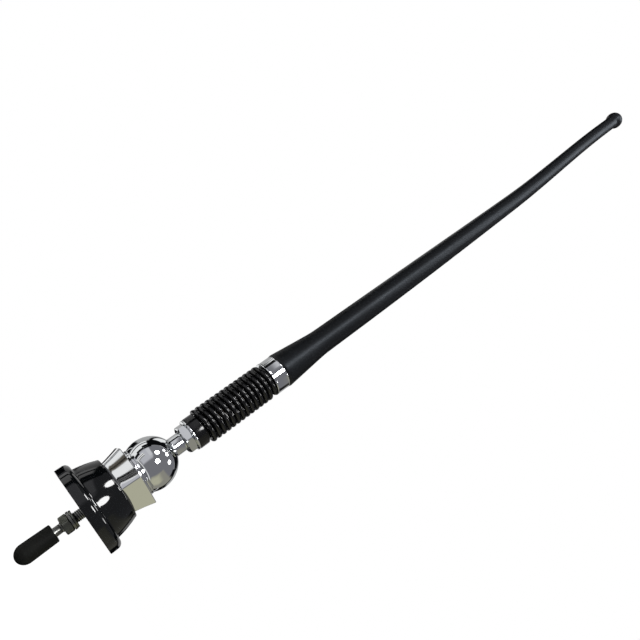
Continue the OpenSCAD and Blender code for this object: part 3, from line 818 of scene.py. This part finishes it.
def make_stud():
    s = sizes()
    _, low_z, high_z = reach("mounting_stud")
    thread_end = reach("mounting_nut")[1] - 0.4 * MM
    root = s.stud - 0.28 * MM
    shoulder = ball_centre() - reach("swivel_ball")[0] + s.ball_wall + 0.47 * MM
    outline = [(0, low_z), (s.pin - 1.1 * MM, low_z), (s.pin - 0.45 * MM, low_z + 0.15 * MM),
               (s.pin, low_z + 0.8 * MM), (s.pin, thread_end - 0.5 * MM),
               (s.pin - 0.12 * MM, thread_end - 0.35 * MM), (root, thread_end + 0.1 * MM),
               (root, shoulder), (s.rivet, shoulder), (s.rivet, high_z - 0.4 * MM),
               (s.rivet - 0.4 * MM, high_z), (0, high_z)]
    place(lathe("stud_core", outline, "zinc_steel", sides=64), "stud", "mounting_stud")
    height = shoulder - thread_end - 1.0 * MM
    turns = height / s.thread_pitch
    thread = coil("stud_thread", "zinc_steel", {
        "Radius": root + 0.08 * MM, "Start": thread_end + 0.5 * MM, "Height": height,
        "Turns": turns, "Start Angle": 0.0, "Wire Radius": 0.2 * MM,
        "Points": int(turns * 40), "Wire Sides": 6}, sharp_angle=30)
    place(thread, "stud")


def make_washers():
    """A flat washer, and a lock washer that is a split ring with its ends a little apart."""
    inner = sizes().stud + 0.15 * MM
    flat = flat_ring("flat_washer_ring", "dull_zinc", "flat_washer", inner, 0.12 * MM)
    place(flat, "washers", "flat_washer")
    outer, low_z, high_z = reach("lock_washer")
    steps, gap, rise = 72, 12, 0.08 * MM
    section = rounded([(inner, low_z + rise), (outer, low_z + rise, 0.15 * MM),
                       (outer, high_z - rise, 0.15 * MM), (inner, high_z - rise)], 3)
    vertices = []
    start = math.radians(NUT_TURN + gap / 2)
    for k in range(steps + 1):
        a = start + math.radians(360 - gap) * k / steps
        lift = rise * (2 * k / steps - 1)
        vertices += [(r * math.cos(a), r * math.sin(a), z + lift) for r, z in section]
    faces = skin_faces(steps + 1, len(section), False)
    place(mesh_object("lock_washer_coil", vertices, faces, "zinc_steel"), "washers", "lock_washer")


def make_nut():
    s = sizes()
    nut = hexagon_nut("stud_nut_hexagon", "dull_zinc", "mounting_nut", s.nut_flats, s.stud + 0.05 * MM,
                      NUT_TURN, 0.8 * MM)
    place(nut, "nut", "mounting_nut")


def make_boot():
    s = sizes()
    r, low_z, high_z = reach("vinyl_boot")
    outline = [(r * math.cos(a), low_z + r * (1 + math.sin(a)))
               for a in [-math.pi / 2 + math.pi / 2 * k / 16 for k in range(17)]]
    outline += rounded([(r, low_z + r + 0.01 * MM), (s.mouth, high_z, 0.45 * MM),
                        (s.pin + 0.06 * MM, high_z, 0.2 * MM), (s.pin + 0.06 * MM, high_z - 1.5 * MM)])
    outline.append((0, high_z - 1.5 * MM))
    place(lathe("boot_cap", outline, "soft_vinyl", sides=96), "boot", "vinyl_boot")


def dress_inner_nodes():
    """The pieces that stay as solids: they are inside, or flat and plain."""
    for node, slot in (("seal_pad", "seal_rubber"), ("clamp_saddle", "zinc_steel"),
                       ("upper_plug", "black_enamel"), ("mast_core", "zinc_steel")):
        mesh = frame["nodes"][node].data
        mesh.materials.clear()
        mesh.materials.append(material_for(slot))


# Stage

def camera_turn():
    """Rotation of the camera, from where the base and a place on the mast lie in the photograph."""
    half = PHOTO_SIZE / 2

    def towards(pixel):
        return Vector(((pixel[0] - half) / PHOTO_FOCAL, (half - pixel[1]) / PHOTO_FOCAL, -1)).normalized()

    deep = towards(BASE_PIXEL)
    up = towards(MAST_PIXEL)
    up = (up - deep * up.dot(deep)).normalized()
    return Matrix((deep.cross(up), deep, up))


def direction(azimuth, elevation):
    """Unit vector at an azimuth from +Y towards +X and an elevation, in degrees."""
    a, e = math.radians(azimuth), math.radians(elevation)
    return Vector((math.sin(a) * math.cos(e), math.cos(a) * math.cos(e), math.sin(e)))


def aimed(obj, spot, target):
    turn = (target - spot).to_track_quat("-Z", "Y")
    obj.matrix_world = Matrix.Translation(spot) @ turn.to_matrix().to_4x4()


def link_stage(obj, camera=False, glossy=True, diffuse=True, shadow=True):
    bpy.context.scene.collection.objects.link(obj)
    obj.visible_camera = camera
    obj.visible_glossy = glossy
    obj.visible_diffuse = diffuse
    obj.visible_shadow = shadow
    return obj


def add_camera():
    data = bpy.data.cameras.new("photo_camera")
    data.sensor_width = SENSOR_WIDTH
    data.lens = SENSOR_WIDTH * PHOTO_FOCAL / PHOTO_SIZE
    data.clip_start = 0.01
    camera = bpy.data.objects.new("photo_camera", data)
    camera.matrix_world = Matrix.Translation((0, -CAMERA_DISTANCE * MM, 0)) @ camera_turn().to_4x4()
    bpy.context.scene.collection.objects.link(camera)
    bpy.context.scene.camera = camera


# Round studio lamps as azimuth, elevation, diameter in metres and brightness, one metre from the ball. They
# leave the mast out, which has strips of its own.
LAMPS = (
    ("left_low", -152, 41, 0.27, 22.0),
    ("right_low", 172, 23, 0.30, 22.0),
    ("left_high", -148, 71, 0.13, 12.0),
    ("right_high", 161, 72, 0.20, 12.0),
    ("far_right", 114, 55, 0.22, 12.0),
)
# Strips that draw the soft bluish band along the mast: azimuth, elevation, width, height and brightness
MAST_STRIPS = (
    ("mast_strip_low", 178, 36, 0.18, 0.55, 10.5),
    ("mast_strip_high", 144, 64, 0.36, 0.5, 3.4),
)


def light_group(name, state):
    """Collection that limits a lamp to the mast, or leaves the mast out."""
    group = bpy.data.collections.new(name)
    group.objects.link(bpy.data.objects["mast_rubber_skin"])
    group.collection_objects[0].light_linking.link_state = state
    return group


def add_lamp(name, azimuth, elevation, size, radiance, group, tint="#ffffff"):
    data = bpy.data.lights.new(name, "AREA")
    data.shape = "DISK" if size[0] == size[1] else "RECTANGLE"
    data.size, data.size_y = size
    area = size[0] * size[1] * (math.pi / 4 if size[0] == size[1] else 1)
    data.energy = radiance * math.pi * area
    data.color = linear(tint)[:3]
    lamp = bpy.data.objects.new(name, data)
    centre = Vector((0, 0, ball_centre()))
    aimed(lamp, centre + direction(azimuth, elevation), centre)
    bpy.context.scene.collection.objects.link(lamp)
    lamp.light_linking.receiver_collection = group


def add_lamps():
    mast_only = light_group("mast_only", "INCLUDE")
    all_but_mast = light_group("all_but_mast", "EXCLUDE")
    for name, azimuth, elevation, diameter, radiance in LAMPS:
        add_lamp(name, azimuth, elevation, (diameter, diameter), radiance, all_but_mast)
    for name, azimuth, elevation, width, height, radiance in MAST_STRIPS:
        add_lamp(name, azimuth, elevation, (width, height), radiance, mast_only, "#e4eefa")


def glow_material(name, tint):
    """Plain light of one colour that fades out where the patch's fade runs to 0."""
    material, tree = new_material(name)
    glow = add(tree, "ShaderNodeEmission", {"Color": tint, "Strength": 1.0})
    clear = add(tree, "ShaderNodeBsdfTransparent")
    fade = add(tree, "ShaderNodeAttribute", attribute_name="fade")
    share = add(tree, "ShaderNodeMapRange", {"Value": fade.outputs["Fac"]}, interpolation_type="SMOOTHSTEP")
    both = add(tree, "ShaderNodeMixShader", {0: share.outputs[0], 1: clear.outputs[0], 2: glow.outputs[0]})
    add(tree, "ShaderNodeOutputMaterial", {"Surface": both.outputs[0]})
    return material


# What the chrome mirrors, as patches of a dome: azimuths, elevations, distance in metres, colour and the
# degrees over which the edge fades. The open places between them show the white surround.
PATCHES = (
    ("room_wall", 58, 256, -36, 88, 1.40, "#7c7c81", 4),
    ("pale_wall", 190, 254, -36, 27, 1.36, "#c6c6cc", 12),
    ("pale_high", 206, 248, 8, 25, 1.345, "#d4d4d8", 4),
    ("low_wall", 46, 130, -34, 25, 1.35, "#96948a", 8),
    ("beige_card", 66, 130, -46, 10, 1.34, "#bdbba4", 20),
    ("door_left", 222.5, 224.0, -31, -3, 1.30, "#141414", 0.4),
    ("door_gap", 223.7, 224.9, -31, -3, 1.31, "#4a4a4a", 0.2),
    ("door_right", 224.6, 226.3, -31, -3, 1.30, "#0a0a0a", 0.4),
    ("shelf", 230.0, 234.0, -31, -3, 1.30, "#5d5850", 0.8),
    ("blind", 231.2, 232.2, -31, -3, 1.29, "#262422", 0.3),
    ("window", 221.4, 238, -33, -2, 1.32, "#ffffff", 1.2),
    ("left_bar", 247, 259, 8, 36, 1.33, "#0b0b0d", 3),
    ("right_arc", 50, 72, -34, 40, 1.39, "#0b0b0d", 3),
    ("left_arc_low", 240, 254, -60, -12, 1.33, "#0b0b0d", 2),
    ("left_arc", 249, 261, -18, 10, 1.33, "#0b0b0d", 2),
    ("left_arc_high", 256, 270, 6, 46, 1.33, "#0b0b0d", 2),
    ("left_line", 279, 285, -24, 34, 1.33, "#0b0b0d", 1),
    ("left_grey", 292, 300, -40, 12, 1.33, "#77777a", 2),
    ("left_high", 252, 302, 22, 62, 1.42, "#0b0b0d", 4),
    ("back_dark", -62, 60, -8, 38, 1.44, "#0b0b0d", 1.5),
    ("backdrop", -70, 44, 4, 32, 1.42, "#b4b4b4", 5),
    ("left_gleam", -19, -13.5, -8, 5, 1.41, "#f4f4f4", 1.5),
    ("back_low_right", -4, 60, -60, -8, 1.44, "#0b0b0d", 1.5),
    ("back_low_left", -62, -34, -60, -8, 1.44, "#0b0b0d", 1.5),
    ("back_high", -105, 60, 57, 88, 1.44, "#101012", 2),
    ("right_high", 8, 60, 36, 60, 1.44, "#0b0b0d", 2),
    ("ground", -105, 255, -89, -36, 1.46, "#232323", 2),
)


def grid_lines(low, high, soft):
    """Places of a patch's grid lines, with one where each faded edge ends."""
    inner = [low + soft, high - soft]
    steps = max(2, round((inner[1] - inner[0]) / 4))
    lines = [inner[0] + (inner[1] - inner[0]) * k / steps for k in range(steps + 1)]
    return [low] + lines + [high]


def add_patch(name, azimuths, elevations, distance, tint, soft):
    """Part of a dome round the ball, seen by reflections alone."""
    centre = Vector((0, 0, ball_centre()))
    across, up = grid_lines(*azimuths, soft), grid_lines(*elevations, soft)
    vertices = [centre + distance * direction(a, e) for e in up for a in across]
    faces = []
    for j in range(len(up) - 1):
        for i in range(len(across) - 1):
            k = j * len(across) + i
            faces.append((k, k + 1, k + len(across) + 1, k + len(across)))
    mesh = bpy.data.meshes.new(name)
    mesh.from_pydata(vertices, [], faces)
    fade = mesh.attributes.new("fade", "FLOAT", "POINT")
    for k, value in enumerate(fade.data):
        edge = k // len(across) in (0, len(up) - 1) or k % len(across) in (0, len(across) - 1)
        value.value = 0.0 if edge else 1.0
    mesh.materials.append(glow_material(name, linear(tint)))
    link_stage(bpy.data.objects.new(name, mesh), diffuse=False, shadow=False)


def add_room():
    """The room round the camera, as the chrome ball mirrors it."""
    for name, left, right, low, high, distance, tint, soft in PATCHES:
        add_patch(name, (left, right), (low, high), distance, tint, soft)


def seen_directly(tree):
    """1 for what the camera and the reflections see, 0 for light that falls on the pieces."""
    kind = add(tree, "ShaderNodeLightPath").outputs
    seen = add(tree, "ShaderNodeMath", {0: kind["Is Camera Ray"], 1: kind["Is Glossy Ray"]},
               operation="MAXIMUM")
    return seen.outputs[0], kind


def add_floor():
    """Floor that looks white, low enough for the boot when it is pulled off."""
    pull = joint("boot_pull")["range_m"][1]
    low_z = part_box("vinyl_boot")[0].z - pull - 1 * MM
    material, tree = new_material("floor_pale")
    paint = add(tree, "ShaderNodeBsdfDiffuse", {"Color": colours().floor})
    white = add(tree, "ShaderNodeEmission", {"Color": linear("#ffffff"), "Strength": 1.1})
    seen, _ = seen_directly(tree)
    share = add(tree, "ShaderNodeMath", {0: seen, 1: 0.88}, operation="MULTIPLY")
    both = add(tree, "ShaderNodeMixShader", {0: share.outputs[0], 1: paint.outputs[0], 2: white.outputs[0]})
    add(tree, "ShaderNodeOutputMaterial", {"Surface": both.outputs[0]})
    mesh = bpy.data.meshes.new("studio_floor")
    half = 3.0
    corners = [(x, y, low_z) for x, y in ((-half, -half), (half, -half), (half, half), (-half, half))]
    mesh.from_pydata(corners, [], [(0, 1, 2, 3)])
    mesh.materials.append(material)
    floor = link_stage(bpy.data.objects.new("studio_floor", mesh), camera=True, glossy=False)


def add_world():
    world = bpy.data.worlds.new("white_studio")
    bpy.context.scene.world = world
    world.use_nodes = True
    tree = world.node_tree
    tree.nodes.clear()
    seen, kind = seen_directly(tree)
    more = add(tree, "ShaderNodeMath", {0: seen, 1: kind["Is Transmission Ray"]}, operation="MAXIMUM")
    soft = add(tree, "ShaderNodeBackground", {"Color": linear("#ffffff"), "Strength": 0.35})
    white = add(tree, "ShaderNodeBackground", {"Color": linear("#ffffff"), "Strength": 1.0})
    both = add(tree, "ShaderNodeMixShader", {0: more.outputs[0], 1: soft.outputs[0], 2: white.outputs[0]})
    add(tree, "ShaderNodeOutputWorld", {"Surface": both.outputs[0]})


# Operators

class ANTENNA_OT_base(Operator):
    """Build the glossy base, its hexagonal socket and the seat ring"""
    bl_idname = "antenna.base"
    bl_label = "Base and Socket"

    def execute(self, context):
        make_housing()
        make_socket()
        return {"FINISHED"}


class ANTENNA_OT_swivel(Operator):
    """Build the slotted ball, its stem and the jam nut with its washer"""
    bl_idname = "antenna.swivel"
    bl_label = "Ball and Stem"

    def execute(self, context):
        make_ball()
        make_stem()
        make_jam_nut()
        return {"FINISHED"}


class ANTENNA_OT_spring(Operator):
    """Build the collar, the coil spring and the braid inside it"""
    bl_idname = "antenna.spring"
    bl_label = "Coil Spring"

    def execute(self, context):
        make_spring()
        make_braid()
        return {"FINISHED"}


class ANTENNA_OT_mast(Operator):
    """Build the chrome ferrule and the rubber mast"""
    bl_idname = "antenna.mast"
    bl_label = "Ferrule and Mast"

    def execute(self, context):
        make_ferrule()
        make_mast()
        return {"FINISHED"}


class ANTENNA_OT_fixings(Operator):
    """Build the threaded stud, the washers, the nut and the boot"""
    bl_idname = "antenna.fixings"
    bl_label = "Stud and Fixings"

    def execute(self, context):
        make_stud()
        make_washers()
        make_nut()
        make_boot()
        return {"FINISHED"}


class ANTENNA_OT_inner(Operator):
    """Give the pieces that stay as solids their finish"""
    bl_idname = "antenna.inner"
    bl_label = "Inner Pieces"

    def execute(self, context):
        dress_inner_nodes()
        return {"FINISHED"}


class ANTENNA_OT_stage(Operator):
    """Set up the camera, the softboxes, the mirrored room, the floor and the white surround"""
    bl_idname = "antenna.stage"
    bl_label = "Studio"

    def execute(self, context):
        context.scene.view_settings.view_transform = "Standard"
        add_camera()
        add_world()
        add_lamps()
        add_room()
        add_floor()
        return {"FINISHED"}


STEPS = (ANTENNA_OT_base, ANTENNA_OT_swivel, ANTENNA_OT_spring, ANTENNA_OT_mast,
         ANTENNA_OT_fixings, ANTENNA_OT_inner, ANTENNA_OT_stage)


class ANTENNA_PT_panel(Panel):
    """The antenna's building steps, sizes and colours"""
    bl_idname = "ANTENNA_PT_panel"
    bl_label = "Car Antenna"
    bl_space_type = "VIEW_3D"
    bl_region_type = "UI"
    bl_category = "Antenna"

    def draw(self, context):
        for step in STEPS:
            self.layout.operator(step.bl_idname)
        for group in (context.scene.antenna_sizes, context.scene.antenna_colours):
            box = self.layout.box()
            for name in group.__annotations__:
                box.prop(group, name)


CLASSES = (AntennaSizes, AntennaColours) + STEPS + (ANTENNA_PT_panel,)


def register():
    for cls in CLASSES:
        bpy.utils.register_class(cls)
    bpy.types.Scene.antenna_sizes = PointerProperty(type=AntennaSizes)
    bpy.types.Scene.antenna_colours = PointerProperty(type=AntennaColours)


def unregister():
    del bpy.types.Scene.antenna_colours
    del bpy.types.Scene.antenna_sizes
    for cls in reversed(CLASSES):
        bpy.utils.unregister_class(cls)


def main():
    register()
    bpy.ops.antenna.base()
    bpy.ops.antenna.swivel()
    bpy.ops.antenna.spring()
    bpy.ops.antenna.mast()
    bpy.ops.antenna.fixings()
    bpy.ops.antenna.inner()
    bpy.ops.antenna.stage()


if __name__ == "__main__":
    main()
